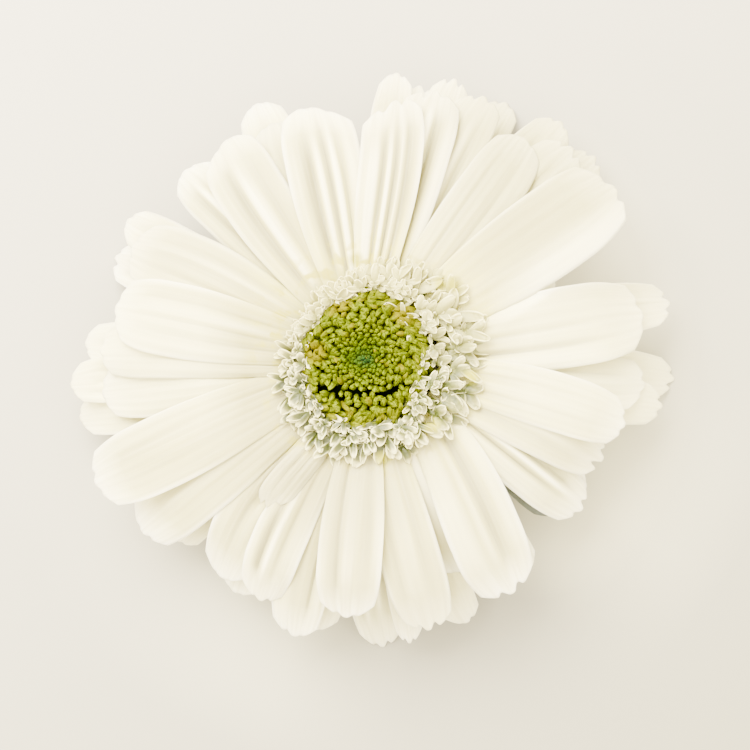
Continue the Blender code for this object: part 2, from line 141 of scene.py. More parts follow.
# Each petal: azimuth of its tip in degrees from +X, reach, width, level, how many degrees further
# round its root stands, how deep its end is toothed, whether it rests on the surface, how much
# shorter it is on its left side (on its right side, where this is negative), how strong its folds
# are, and where its grooves run across it, from -1 to 1 (drawn, where empty).
Petal = namedtuple(
    "Petal",
    "azimuth reach width level bend teeth rests slant folds grooves",
    defaults=(0.0, 0.4, False, 0.0, 1.0, ()),
)
UPPER_PETALS = (
    Petal(8.8, 50.6, 14.6, 3, -1.0, 0.8, folds=1.4, grooves=(-0.45, 0.0)),
    Petal(20.5, 36.5, 12.5, 3),
    Petal(34.7, 55.2, 15.8, 4, -0.5, 0.9, slant=1.8, folds=0.15),
    Petal(46.3, 53.6, 11.5, 2, 0.0, 1.4, folds=1.3),
    Petal(54.4, 49.3, 11.6, 3, 1.0),
    Petal(66.3, 52.6, 10.5, 2, 1.0, 1.1, folds=1.3),
    Petal(75.6, 50.6, 11.9, 3, 1.0, 1.3, folds=1.4),
    Petal(83.8, 48.9, 11.6, 4, 0.6, 1.2, slant=4.5, folds=1.5),
    Petal(102.8, 48.4, 14.0, 3, 1.0, 0.3, slant=-3.0, folds=1.3),
    Petal(113.0, 47.4, 10.6, 2, 1.5, 0.3),
    Petal(123.8, 48.6, 12.6, 3, 0.5, 0.3, slant=1.5),
    Petal(134.6, 49.2, 10.6, 2, -1.0, 0.3),
    Petal(154.6, 48.4, 12.8, 3, -2.5, 0.5, folds=0.4),
    Petal(168.6, 47.2, 13.6, 4, folds=0.4),
    Petal(178.0, 49.6, 11.0, 3, 1.0, 0.5, folds=0.3),
    Petal(186.5, 50.0, 11.5, 2, 0.0, 0.5, folds=0.3),
    Petal(204.0, 55.2, 13.5, 3, -1.0, 0.9, folds=0.25),
    Petal(216.5, 52.6, 12.5, 2, 0.0, 0.5, folds=0.4),
    Petal(235.2, 48.3, 11.0, 2, -4.0, 0.5, folds=0.6),
    Petal(236.0, 33.5, 6.2, 4, 8.0, 1.2, slant=2.5),
    Petal(245.2, 48.2, 10.0, 3, 1.0, 0.9),
    Petal(254.3, 52.4, 10.5, 2, 1.0, 0.9),
    Petal(265.6, 47.0, 11.8, 4, 1.5, 0.6, grooves=(-0.4, 0.55)),
    Petal(283.0, 50.4, 11.2, 3, -2.0, 1.1, folds=0.75, grooves=(-0.42, 0.4)),
    Petal(302.2, 50.0, 13.8, 4, 14.0, 1.0, folds=1.2, grooves=(0.2,)),
    Petal(325.0, 47.4, 10.3, 2, 6.0, 1.1, grooves=(-0.1, 0.35)),
    Petal(336.8, 46.4, 10.6, 3, 3.0, 1.4, folds=0.7),
    Petal(345.6, 48.3, 10.6, 4, 3.0, 0.7, folds=0.6),
    Petal(354.8, 50.4, 10.8, 2, 0.0, 0.7),
)
LOWER_PETALS = (
    Petal(293.5, 42.0, 11.0, 2, 2.0),
    Petal(195.0, 42.0, 10.0, 2),
    Petal(78.5, 44.0, 10.0, 2),
    # Narrow and without folds: painted in deep shade, it shows as a thin dark gap beside the petal
    # at 325.0 degrees.
    Petal(319.8, 43.5, 5.4, 1, 8.0, 0.2, folds=0.0),
    Petal(312.5, 31.0, 9.0, 2, 3.0),
    Petal(21.0, 30.0, 10.0, 2),
    Petal(10.7, 55.6, 9.5, 1, 0.0, 1.1),
    Petal(25.7, 37.0, 9.0, 0),
    Petal(42.7, 55.6, 9.5, 0, 0.0, 1.1),
    Petal(51.6, 56.0, 9.5, 1, 0.0, 0.5),
    Petal(63.5, 54.0, 9.0, 0, 0.0, 0.7, True),
    Petal(73.8, 54.2, 8.5, 1, 0.0, 1.1),
    Petal(80.5, 51.8, 9.0, 0, 0.0, 1.1),
    Petal(85.2, 53.4, 7.5, 1, 2.0, 0.5),
    Petal(104.5, 47.0, 9.0, 0, -3.0, 0.3),
    Petal(114.4, 52.4, 10.2, 1),
    Petal(130.4, 47.6, 9.0, 0),
    Petal(150.3, 52.8, 8.8, 1, -3.0),
    Petal(158.2, 53.2, 9.5, 0, 0.0, 1.4, True),
    Petal(176.0, 54.2, 9.0, 0),
    Petal(184.0, 56.4, 9.0, 1, 0.0, 0.7),
    Petal(190.4, 56.0, 9.0, 0),
    Petal(208.5, 52.4, 9.5, 0, 0.0, 0.7, True),
    Petal(222.1, 49.0, 9.0, 1),
    Petal(239.1, 49.6, 10.0, 1),
    Petal(257.5, 50.6, 9.5, 1),
    Petal(271.0, 52.7, 9.0, 0, 0.0, 1.1, True),
    Petal(277.6, 52.2, 6.0, 1, 0.0, 0.7),
    Petal(289.5, 51.0, 9.0, 0),
    Petal(306.0, 48.2, 9.5, 1, 0.0, 0.7),
    Petal(327.4, 46.0, 9.0, 0, 0.0, 1.1),
    Petal(350.9, 53.8, 9.0, 1, 0.0, 1.1),
    Petal(356.8, 55.2, 9.0, 0, 0.0, 1.1, True),
)

# Rows of trans florets, the short white ones round the disc: their count, the radius of their
# roots, the point that they bow towards, the radius and height of their tips, their width, and
# how far they follow the ring's uneven edge. That edge is a circle of radius RING_EDGE plus two
# waves round it: their height, the azimuth of a crest in degrees, and their number. The other
# rows follow the disc, which is longer along y by twice the share DISC_TALLER.
TransRow = namedtuple("TransRow", "count root bow reach tip width follows")
TRANS_ROWS = (
    TransRow(40, 9.6, (11.6, 23.2), 12.6, 25.9, 1.6, -0.2),
    TransRow(38, 10.6, (12.8, 24.6), 15.2, 25.5, 2.1, 0.3),
    TransRow(36, 11.2, (13.4, 24.4), 17.4, 24.8, 2.5, 0.8),
    TransRow(34, 11.8, (14.0, 23.4), 19.0, 23.4, 2.7, 1.0),
)
RING_EDGE = 18.6
RING_WAVES = ((3.4, -23, 1), (1.5, 33, 2))
DISC_TALLER = 0.08
TRANS_ROOT_HEIGHT = 20.6
TRANS_SHAPES = 9
TRANS_SEED = 11

# Dome of disc florets. The floor between its buds lies FLOOR_DEPTH under it.
DOME_RIM_RADIUS = 11.1
DOME_RIM_HEIGHT = 23.6
DOME_HEIGHT = 27.0
DOME_POWER = 2.2
DIMPLE_DEPTH = 0.6
DIMPLE_RADIUS = 2.6
DISC_RADIUS = 12.1
BUD_COUNT = 540
BUD_SPREAD = 0.76
BUD_HEIGHT = 25.7
BUD_SHAPES = 6
BUD_SEED = 2
FLOOR_DEPTH = 1.3

# Furrows in the lower part of the disc: where each begins and ends along x, the y and the x of its
# lowest point, how fast it rises to both sides, and half its width at both ends.
Furrow = namedtuple("Furrow", "left right low at rise half")
FURROWS = (
    Furrow(-8.4, 8.4, -6.3, 2.0, 0.011, (0.6, 0.18)),
    Furrow(-6.5, -1.0, -9.4, 0.0, 0.11, (0.5, 0.3)),
)

# Middles of the yellow stains round the ring, and of the patches of riper, tan buds near the rim.
STAIN_SPOTS = ((13.9, 13.3), (16.2, 13.3), (-1.8, 18.0), (3.2, -18.3), (19.5, -3.4), (12.5, -12.2))
RIPE_SPOTS = ((-4.4, 10.0), (-8.8, 1.0), (7.2, 8.0))

# Rows of bracts up the outside of the cup: their count, the cup angles they run between, how far
# their tips stand off and their width.
BractRow = namedtuple("BractRow", "count start end stand_off width")
BRACT_ROWS = (
    BractRow(12, 17.0, 47.0, 1.1, 3.3),
    BractRow(15, 40.0, 67.0, 1.2, 3.3),
    BractRow(18, 60.0, 87.0, 1.2, 3.2),
)
BRACT_SHAPES = 4
BRACT_SEED = 8


def smoothstep(low, high, x):
    t = np.clip((x - low) / (high - low), 0.0, 1.0)
    return t * t * (3.0 - 2.0 * t)


class Pile:
    """Gathers shapes, in millimetres, that become one mesh. Each point has values for the
    materials: along (0 at the root, 1 at the tip), across (-1 to 1), tone (one for each shape)
    and dip (-1 on the crest of a fold, 1 at its bottom), which paints a highlight on the crest
    and shade in the bottom.
    """

    def __init__(self):
        self.points, self.faces, self.values = [], [], []
        self.count = 0

    def add(self, points, faces, along, across=0.0, tone=0.0, dip=0.0):
        points = np.asarray(points, float).reshape(-1, 3)
        self.points.append(points)
        self.faces += [tuple(self.count + int(i) for i in face) for face in faces]
        ones = np.ones(len(points))
        values = [along * ones, across * ones, tone * ones, dip * ones]
        self.values.append(np.stack(values, axis=1))
        self.count += len(points)

    def mesh(self, name):
        mesh = bpy.data.meshes.new(name)
        mesh.from_pydata((np.concatenate(self.points) * MM).tolist(), [], self.faces)
        values = np.concatenate(self.values)
        for column, label in enumerate(("along", "across", "tone", "dip")):
            layer = mesh.attributes.new(label, "FLOAT", "POINT")
            layer.data.foreach_set("value", values[:, column].astype(np.float32))
        mesh.shade_smooth()
        return mesh


def grid_normals(grid):
    along = np.gradient(grid, axis=0)
    across = np.gradient(grid, axis=1)
    normals = np.cross(along, across)
    return normals / np.maximum(np.linalg.norm(normals, axis=2, keepdims=True), 1e-9)


def grid_faces(index):
    """The faces of a grid of points, from the numbers of its points."""
    corners = (index[:-1, :-1], index[:-1, 1:], index[1:, 1:], index[1:, :-1])
    return np.stack(corners, axis=2).reshape(-1, 4).tolist()


def ring_faces(index):
    """The faces between rings of points, where each row of the index numbers one ring."""
    return grid_faces(np.hstack([index, index[:, :1]]))


def add_blade(pile, grid, thickness, tone=0.0, from_along=0.0, dip=0.0):
    """Adds a closed blade round a grid of middle points, with a thickness for each of them."""
    rows, columns = grid.shape[:2]
    half = grid_normals(grid) * (np.broadcast_to(thickness, (rows, columns))[..., None] / 2)
    points = np.concatenate([(grid + half).reshape(-1, 3), (grid - half).reshape(-1, 3)])
    under = rows * columns
    index = np.arange(under).reshape(rows, columns)
    faces = [(a, d, c, b) for a, b, c, d in grid_faces(index)] + grid_faces(index + under)
    rim = np.concatenate([index[0, :], index[1:, -1], index[-1, -2::-1], index[-2:0:-1, 0]])
    after = np.roll(rim, -1)
    faces += list(zip(rim, after, after + under, rim + under))
    along = np.linspace(from_along, 1.0, rows)[:, None] * np.ones(columns)
    across = np.linspace(-1.0, 1.0, columns) * np.ones((rows, 1))
    dip = np.broadcast_to(dip, (rows, columns))
    along, across, dip = (np.tile(x.ravel(), 2) for x in (along, across, dip))
    pile.add(points, faces, along, across, tone, dip)


def add_tube(pile, path, radii, sides, along, tone=0.0):
    """Adds a closed tube along a path, with a radius and an along value for each of its points."""
    path = np.asarray(path, float)
    ahead = np.gradient(path, axis=0)
    ahead /= np.linalg.norm(ahead, axis=1, keepdims=True)
    aside = np.cross(ahead, (0.3, 0.91, 0.2))
    aside /= np.linalg.norm(aside, axis=1, keepdims=True)
    up = np.cross(ahead, aside)
    turn = np.arange(sides) * math.tau / sides
    ring = aside[:, None] * np.cos(turn)[:, None] + up[:, None] * np.sin(turn)[:, None]
    points = path[:, None] + ring * np.asarray(radii, float)[:, None, None]
    index = np.arange(len(path) * sides).reshape(-1, sides)
    faces = ring_faces(index) + [tuple(index[0, ::-1]), tuple(index[-1])]
    pile.add(points, faces, np.repeat(np.broadcast_to(along, len(path)), sides), 0.0, tone)


def petal_folds(petal, t, v, draw):
    """How high the folds of a blade stand, and a value from -1 on their crests to 1 at the bottom
    of their grooves, for a painted highlight on the crests and painted shade in the grooves. The
    blade swells between one to three grooves, which each run along a part of it. Its edges turn
    up or down, and slow waves run along them."""
    dip, groove_shade_crest_light = np.zeros_like(t), np.zeros_like(t)
    v = v[None, :] + draw.uniform(-0.08, 0.08) * np.sin(math.pi * (t + draw.random())) * (1 - v * v)
    spots = GROOVES[draw.integers(len(GROOVES))]
    spots = np.array(spots) + draw.uniform(-0.09, 0.09, len(spots))
    spots = np.array(petal.grooves or spots)
    walls = np.concatenate([[-1.15], spots, [1.15]])
    sunk = np.zeros_like(t)
    for k, centre in enumerate(spots):
        off = v - centre
        side = np.where(off < 0.0, centre - walls[k], walls[k + 2] - centre)
        swell = np.clip(2.0 * np.abs(off) / side, 0.0, 1.0)
        runs = smoothstep(0.0, draw.uniform(0.1, 0.25), t)
        runs = runs * (1.0 - smoothstep(draw.uniform(0.5, 0.8), draw.uniform(0.9, 1.05), t))
        runs = runs * draw.uniform(0.4, 1.2) * petal.folds
        sunk = np.maximum(sunk, runs * (1.0 - np.sqrt(1.0 - (1.0 - swell) ** 2)))
        # Painted shade beside each groove and a painted highlight on the crest next to it, which go
        # into dip and not into the shape.
        beside = np.abs(off) < side / 2
        broad_shade_and_light = 0.6 * (1.0 - swell) ** 1.2 - 0.4 * smoothstep(0.3, 1.0, swell)
        dip = np.where(beside | (broad_shade_and_light < 0.0) & (dip == 0.0), runs * broad_shade_and_light, dip)
        slopes = draw.permutation((0.06, 0.24)) * draw.uniform(0.8, 1.2)
        groove_shade = np.exp(-(np.abs(off / np.where(off < 0.0, *slopes)) ** 1.3))
        steep = 1.0 if slopes[0] > slopes[1] else -1.0
        crest = np.exp(-(((off - steep * 0.2) / 0.13) ** 2))
        groove_shade_crest_light += runs * (0.7 * groove_shade - 0.7 * crest)
    rise = -GROOVE * petal.width / 12.0 * sunk
    grown = smoothstep(0.0, RELIEF_GROWN, t)
    rise += PLEAT * np.cos(7.5 * math.pi * v + draw.uniform(0, 3)) * grown
    edge = np.where(v < 0.0, draw.uniform(-1.1, 0.6), draw.uniform(-1.1, 0.6))
    rise += edge * np.abs(v) ** 3.5 * grown
    beat = draw.uniform(0.9, 1.6) * t + draw.random() + 0.23 * np.sign(v)
    rise += WAVE * smoothstep(0.25, 0.8, t) * v * v * np.sin(math.tau * beat)
    return rise + draw.uniform(-0.5, 0.5) * np.sin(math.pi * t) * v, np.clip(dip + groove_shade_crest_light, -1.0, 1.0)


def petal_grid(petal, draw):
    """Middle points of a petal's blade, with the small bends that differ in each one, and the dip
    of each point, which paints highlight and shade on its folds."""
    level = LEVELS[petal.level]
    length = petal.reach - ROOT_RADIUS
    root = ROOT_HEIGHT + LEVEL_STEP * petal.level
    tip = RESTING_TIP if petal.rests else level.tip
    u = 1.0 - (1.0 - np.linspace(0.0, 1.0, PETAL_ROWS)) ** 1.25
    v = np.linspace(-1.0, 1.0, PETAL_COLUMNS)
    notch = np.abs(np.sin(1.5 * math.pi * (v + draw.uniform(-0.1, 0.1) * (1.0 - v * v)))) ** 4
    notch *= np.where(v < 0.0, *draw.uniform(0.3, 1.25, 2)) * (np.abs(v) < 0.7)
    shorter = END_ROUND * np.abs(v) ** 2.4 + petal.teeth * notch
    shorter += abs(petal.slant) * ((1.0 + np.copysign(1.0, petal.slant) * v) / 2) ** 1.5
    t = u[:, None] * (1.0 - shorter / length)[None, :]
    sway = draw.uniform(-1.7, 1.7) * np.sin(math.pi * t)
    radius = ROOT_RADIUS + length * t
    turn = np.radians(petal.azimuth + petal.bend * (1.0 - t) ** BEND_POWER + sway)
    height = root + level.lift * np.sin(math.pi * t)
    height -= (root - tip - level.curl) * t**SAG_POWER
    height -= level.curl * smoothstep(CURL_START, 1.0, t) ** 1.5
    swell = CLAW + (1.0 - CLAW) * np.sin(math.pi / 2 * np.minimum(t / WIDEST, 1.0))
    narrowed = np.maximum(0.0, (t - END_START) / (1.0 - END_START))
    half = 0.5 * petal.width * swell * (1.0 - END_TAPER * narrowed**2)
    x = radius * np.cos(turn) - np.sin(turn) * half * v
    y = radius * np.sin(turn) + np.cos(turn) * half * v
    rise, dip = petal_folds(petal, t, v, draw)
    return np.stack([x, y, height + rise], axis=2), dip


def spread_push(push):
    """Carries a push on some points of a grid smoothly over to their neighbours."""
    for _ in range(12):
        padded = np.pad(push, 1, mode="edge")
        mean = (padded[:-2, 1:-1] + padded[2:, 1:-1] + padded[1:-1, :-2] + padded[1:-1, 2:]) / 4
        push = np.maximum(push, mean)
    return push


def laid_petals():
    """The grids of all the petals, from the top down. Each is pressed under those above it."""
    draw = np.random.default_rng(PETAL_SEED)
    petals = sorted(UPPER_PETALS + LOWER_PETALS, key=lambda petal: -petal.level)
    corners, faces, laid = [], [], []
    for petal in petals:
        grid, dip = petal_grid(petal, draw)
        if corners:
            above = BVHTree.FromPolygons(corners, faces)
            push = np.zeros(grid.shape[:2])
            for i, j in np.ndindex(*push.shape):
                x, y, z = grid[i, j]
                hit = above.ray_cast(Vector((x, y, -5.0)), Vector((0.0, 0.0, 1.0)))[0]
                if hit is not None:
                    push[i, j] = z - (hit.z - PETAL_THICKNESS - PETAL_CLEARANCE)
            grid[..., 2] -= spread_push(np.clip(push, 0.0, 5.0))
        grid[..., 2] = np.maximum(grid[..., 2], PETAL_THICKNESS / 2)
        index = len(corners) + np.arange(grid[..., 0].size).reshape(grid.shape[:2])
        corners += grid.reshape(-1, 3).tolist()
        faces += grid_faces(index)
        laid.append((petal, grid, dip))
    return laid


def petal_meshes():
    v = np.abs(np.linspace(-1.0, 1.0, PETAL_COLUMNS))
    u = np.linspace(0.0, 1.0, PETAL_ROWS)
    thin = np.maximum(smoothstep(0.78, 1.0, v)[None, :], smoothstep(0.93, 1.0, u)[:, None])
    thick = PETAL_THICKNESS * (1.0 - 0.3 * u[:, None])
    thickness = thick * (1.0 - thin) + PETAL_EDGE_THICKNESS * thin
    names = ("petals_low", "petals_low", "petals_middle", "petals_top", "petals_top")
    piles = {name: Pile() for name in names}
    for number, (petal, grid, dip) in enumerate(laid_petals()):
        pile = piles[names[petal.level]]
        # The petal without folds takes the tone that paints it in deep shade.
        tone = number if petal.folds else SHADED
        add_blade(pile, grid, thickness, tone, 0.0, dip)
        foot = grid[0].mean(axis=0)
        path = [
            (foot[0], foot[1], FLORET_FLOOR - 0.4),
            (foot[0], foot[1], foot[2] - 0.9),
            foot,
            grid[3, PETAL_COLUMNS // 2],
        ]
        add_tube(pile, path, (0.8, 0.85, 0.8, 0.2), 10, (0.0, 0.0, 0.02, 0.07), number)
    return {name: pile.mesh(name) for name, pile in piles.items()}


def add_lobe(pile, foot, turn, rise, curl, length, width, cup, draw):
    """Adds a small oval lobe of a floret. It starts at foot and heads up at the angle rise, then
    curls; cup bends its edges up."""
    s = 1.0 - (1.0 - np.linspace(0.0, 1.0, 8)[:, None]) ** 1.7
    w = np.linspace(-1.0, 1.0, 7)[None, :]
    steps = np.diff(s, axis=0, prepend=0.0) * length
    angle = rise + curl * s**1.3
    out, up = np.cumsum(np.cos(angle) * steps, axis=0), np.cumsum(np.sin(angle) * steps, axis=0)
    half = 0.5 * width * (0.3 + 0.7 * np.sin(math.pi / 2 * np.minimum(s / 0.55, 1.0)))
    half = half * np.sqrt(1.0 - 0.95 * np.maximum(0.0, (s - 0.45) / 0.55) ** 3)
    side = half * np.sin(w * cup) / cup + draw.uniform(-0.2, 0.2) * length * s**2
    lift = half * (1.0 - np.cos(w * cup)) / cup + draw.uniform(-0.35, 0.35) * w * half
    crumple = np.sin(math.tau * (draw.uniform(0.6, 1.3) * s + draw.random()) + 3.4 * w)
    lift = lift + 0.13 * width * crumple * smoothstep(0.2, 0.7, s)
    side = side * (1.0 + draw.uniform(0.0, 0.25) * np.sin(4.0 * w + math.tau * draw.random()) * s)
    ahead = out - np.sin(angle) * lift
    x = foot[0] + ahead * math.cos(turn) - side * math.sin(turn)
    y = foot[1] + ahead * math.sin(turn) + side * math.cos(turn)
    grid = np.stack([x, y, foot[2] + up + np.cos(angle) * lift], axis=2)
    add_blade(pile, grid, 0.16 - 0.06 * np.abs(w), 0.0, 0.45)


def trans_floret(row, draw):
    """One short floret, drawn as it stands towards +X: a tube, three oval outer lobes that fan out
    and curl over, and two small inner ones."""
    pile = Pile()
    start = np.array((row.root, 0.0, TRANS_ROOT_HEIGHT))
    bow = np.array((row.bow[0], 0.0, row.bow[1]))
    end = np.array((row.reach, 0.0, row.tip))
    mouth = draw.uniform(0.42, 0.7)
    t = np.linspace(0.0, mouth, 5)[:, None]
    path = start * (1 - t) ** 2 + 2 * bow * t * (1 - t) + end * t**2
    add_tube(pile, path, (0.34, 0.4, 0.46, 0.54, 0.5), 7, np.linspace(0.0, 0.45, 5))
    slope = (bow - start) * (1 - mouth) + (end - bow) * mouth
    foot = path[-1] - 0.2 * slope / np.linalg.norm(slope)
    length = np.linalg.norm(end - path[-1])
    for turn in draw.choice(((-0.9, 0.0, 0.9), (-0.4, 0.5, 1.3), (-1.3, -0.5, 0.4))):
        turn = turn + draw.uniform(-0.35, 0.35)
        rise = draw.uniform(-0.3, 1.1)
        curl = -rise - draw.uniform(-0.7, 0.7)
        size = length * draw.uniform(0.8, 1.25)
        width = row.width * draw.uniform(0.5, 0.85)
        cup = draw.choice((-1, 1, 1)) * draw.uniform(0.2, 1.1)
        add_lobe(pile, foot, turn, rise, curl, size, width, cup, draw)
    for side in (-1, 1):
        turn = side * draw.uniform(1.1, 2.4)
        rise, curl = draw.uniform(0.3, 1.2), draw.uniform(-1.6, 0.2)
        size = draw.uniform(0.45, 0.75) * row.width
        add_lobe(pile, foot, turn, rise, curl, size, size * 0.65, draw.uniform(0.6, 1.4), draw)
    return pile.mesh("floret")


def bud(draw, opened):
    """One closed bud of the disc, nearly a millimetre wide, with five seams up to its point."""
    pile = Pile()
    sides = 10
    heights = np.array((-0.9, -0.2, 0.3, 0.75, 1.1, 1.35))
    radii = np.array((0.3, 0.42, 0.5, 0.46, 0.31, 0.14))
    radii -= np.array((0, 0, 0, 1, 2, 1)) * opened / 20
    seams = np.array((0.0, 0.05, 0.1, 0.18, 0.26, 0.3))
    turn = np.arange(sides) * math.tau / sides
    sway = draw.uniform(-0.14, 0.14, 2)
    points = []
    for height, radius, seam in zip(heights, radii, seams):
        ring = radius * (1.0 - seam * (np.arange(sides) % 2))
        x, y = sway * max(height, 0.0) ** 1.5
        points += list(zip(ring * np.cos(turn) + x, ring * np.sin(turn) + y, height + 0 * turn))
    points.append((*sway * 1.6, 1.35 + 0.25 * opened))
    index = np.arange(len(heights) * sides).reshape(-1, sides)
    faces = ring_faces(index) + [tuple(index[0, ::-1])]
    faces += [(a, b, len(points) - 1) for a, b in zip(index[-1], np.roll(index[-1], -1))]
    along = np.concatenate([np.repeat(np.clip(heights / 1.4, 0.0, 1.0), sides), [1.0]])
    seam = np.tile(np.arange(sides) % 2, len(heights))
    pile.add(points, faces, along, np.append(seam, 0.0))
    return pile.mesh("bud")


def cup_point(angle, stand_off=0.0):
    """(radius, height) on the cup's outside at an angle up from its foot, in degrees."""
    a = math.radians(angle)
    radius = CUP_RADIUS * math.sin(a) ** CUP_POWER
    height = CUP_TOP - (CUP_TOP - CUP_BOTTOM) * math.cos(a)
    return radius + stand_off * math.sin(a), height - stand_off * math.cos(a)


def bract(row, draw):
    """One bract, drawn as it stands towards +X: a pointed, keeled blade that hugs the cup."""
    rows, columns = 14, 9
    s = np.linspace(0.0, 1.0, rows)
    w = np.linspace(-1.0, 1.0, columns)
    spread = (0.62 + 0.38 * np.sin(math.pi * np.minimum(s / 0.7, 1.0))) * (1.0 - s**4)
    half = 0.5 * row.width * np.maximum(spread, 0.03)
    twist = draw.uniform(-0.25, 0.25)
    grid = np.zeros((rows, columns, 3))
    for i, share in enumerate(s):
        angle = row.start - 4.0 + (row.end - row.start + 4.0) * share
        lift = row.stand_off * share**1.6 + 0.15
        for j, side in enumerate(w):
            keel = 0.55 * (1.0 - abs(side)) ** 2 * (1.0 - 0.5 * share)
            radius, height = cup_point(angle, lift + keel - 0.25 * side**2)
            turn = half[i] * (side + twist * share**2) / radius
            grid[i, j] = radius * math.cos(turn), radius * math.sin(turn), height
    pile = Pile()
    add_blade(pile, grid[:, ::-1], 0.4 * (1.0 - 0.6 * s[:, None]) * (1.0 - 0.5 * w**2))
    return pile.mesh("bract")


def turned_mesh(name, profile, sides, ripple=None):
    """A closed solid of revolution from (radius, height) points that run from the axis outwards
    and end on the axis. The ripple, a function of turn and height, changes the radius."""
    pile = Pile()
    points, rings = [], []
    turn = np.arange(sides) * math.tau / sides
    for radius, height in profile:
        if radius == 0.0:
            rings.append([len(points)] * sides)
            points.append((0.0, 0.0, height))
            continue
        rings.append(list(range(len(points), len(points) + sides)))
        round_ = radius * (1.0 + (ripple(turn, height) if ripple else 0.0 * turn))
        points += list(zip(round_ * np.cos(turn), round_ * np.sin(turn), height + 0.0 * turn))
    faces = [tuple(dict.fromkeys(face)) for face in ring_faces(np.array(rings))]
    pile.add(points, faces, np.array(points)[:, 2] / CUP_TOP)
    return pile.mesh(name)


class Signal:
    """A value in a node tree, which takes Python's arithmetic."""

    def __init__(self, graph, socket):
        self.graph, self.socket = graph, socket

    def __add__(self, other):
        return self.graph.calc("ADD", self, other)

    def __sub__(self, other):
        return self.graph.calc("SUBTRACT", self, other)

    def __rsub__(self, other):
        return self.graph.calc("SUBTRACT", other, self)

    def __mul__(self, other):
        return self.graph.calc("MULTIPLY", self, other)

    def __abs__(self):
        return self.graph.calc("ABSOLUTE", self)

    def other(self, out):
        """Another output of the same node."""
        return Signal(self.graph, self.socket.node.outputs[out])

    def to(self, low, high, to_low=0.0, to_high=1.0):
        """Runs from to_low, where this is low, to to_high, where it is high, and no further."""
        feeds = {0: self, 1: low, 2: high, 3: to_low, 4: to_high}
        return self.graph.add("ShaderNodeMapRange", feeds)

    def by_mm(self, low, high, to_low=0.0, to_high=1.0):
        """As to(), for a length, with low and high in millimetres."""
        return self.to(low * MM, high * MM, to_low, to_high)


class Graph:
    """A node tree that is built a node at a time."""

    def __init__(self, group):
        self.group = group

    def add(self, kind, feeds=None, out=0, **settings):
        """Adds a node and gives one of its outputs."""
        node = self.group.nodes.new(kind)
        for name, value in settings.items():
            setattr(node, name, value)
        for key, value in (feeds or {}).items():
            if isinstance(value, Signal):
                self.group.links.new(value.socket, node.inputs[key])
            else:
                node.inputs[key].default_value = value
        return Signal(self, node.outputs[out])

    def calc(self, operation, *values):
        return self.add("ShaderNodeMath", dict(enumerate(values)), operation=operation)

    def vector(self, operation, *values, out=0):
        return self.add("ShaderNodeVectorMath", dict(enumerate(values)), out, operation=operation)

    def combine(self, x, y, z):
        return self.add("ShaderNodeCombineXYZ", {0: x, 1: y, 2: z})

    def parts(self, vector):
        """The x, y and z of a vector."""
        x = self.add("ShaderNodeSeparateXYZ", {0: vector})
        return x, x.other(1), x.other(2)


def linked(name, data):
    """A new object in the scene."""
    obj = bpy.data.objects.new(name, data)
    bpy.context.scene.collection.objects.link(obj)
    return obj


class Shapes(Graph):
    """A Geometry Nodes tree. Its sizes are named inputs, set on each object that it makes."""

    def __init__(self, name):
        super().__init__(bpy.data.node_groups.new(name, "GeometryNodeTree"))
        face = self.group.interface
        face.new_socket("Geometry", in_out="INPUT", socket_type="NodeSocketGeometry")
        face.new_socket("Geometry", in_out="OUTPUT", socket_type="NodeSocketGeometry")
        self.keys = {}
        self.entry = self.group.nodes.new("NodeGroupInput")
        self.geometry = Signal(self, self.entry.outputs[0])

    def size(self, label, kind="Float"):
        kind = "NodeSocket" + kind
        made = self.group.interface.new_socket(label, in_out="INPUT", socket_type=kind)
        self.keys[label] = made.identifier
        return Signal(self, self.entry.outputs[label])

    def named(self, name, data_type="FLOAT"):
        return self.add("GeometryNodeInputNamedAttribute", {"Name": name}, data_type=data_type)

    def random(self, low, high, seed):
        return self.add("FunctionNodeRandomValue", {2: low, 3: high, "Seed": seed}, 1)

    def upright(self, aim):
        """The turn that stands a shape up along a vector."""
        return self.add("FunctionNodeAlignRotationToVector", {"Vector": aim}, axis="Z")

    def set_out(self, points, pick, turn, scale):
        """Stands one of the stored shapes at each point."""
        feeds = {"Collection": self.size("Shapes", "Collection")}
        feeds |= {"Separate Children": True, "Reset Children": True}
        feeds = {"Points": points, "Instance": self.add("GeometryNodeCollectionInfo", feeds)}
        feeds |= {"Pick Instance": True, "Instance Index": pick, "Rotation": turn, "Scale": scale}
        return self.add("GeometryNodeInstanceOnPoints", feeds)

    def finish(self, instances):
        """Ends the tree: the instances become real and take the material."""
        real = self.add("GeometryNodeRealizeInstances", {"Geometry": instances})
        feeds = {"Geometry": real, "Material": self.size("Material", "Material")}
        looks = self.add("GeometryNodeSetMaterial", feeds)
        end = self.group.nodes.new("NodeGroupOutput")
        self.group.links.new(looks.socket, end.inputs["Geometry"])
        return self

    def make(self, name, base, **sizes):
        """A new object whose plain mesh is what the tree makes of the base mesh."""
        obj = linked(name, base)
        modifier = obj.modifiers.new("shapes", "NODES")
        modifier.node_group = self.group
        for label, value in sizes.items():
            modifier[self.keys[label.replace("_", " ")]] = value
        graph = bpy.context.evaluated_depsgraph_get()
        mesh = bpy.data.meshes.new_from_object(
            obj.evaluated_get(graph), preserve_all_data_layers=True, depsgraph=graph
        )
        mesh.name = name
        obj.modifiers.clear()
        obj.data = mesh
        return obj

    def make_from(self, shapes, name, base, **sizes):
        """As make, with shapes to pick from, which are stored outside the scene meanwhile."""
        store = bpy.data.collections.new(name)
        for number, mesh in enumerate(shapes):
            store.objects.link(bpy.data.objects.new(f"shape_{number:02d}", mesh))
        obj = self.make(name, base, Shapes=store, **sizes)
        for shape in list(store.objects):
            bpy.data.objects.remove(shape, do_unlink=True)
        bpy.data.collections.remove(store)
        return obj


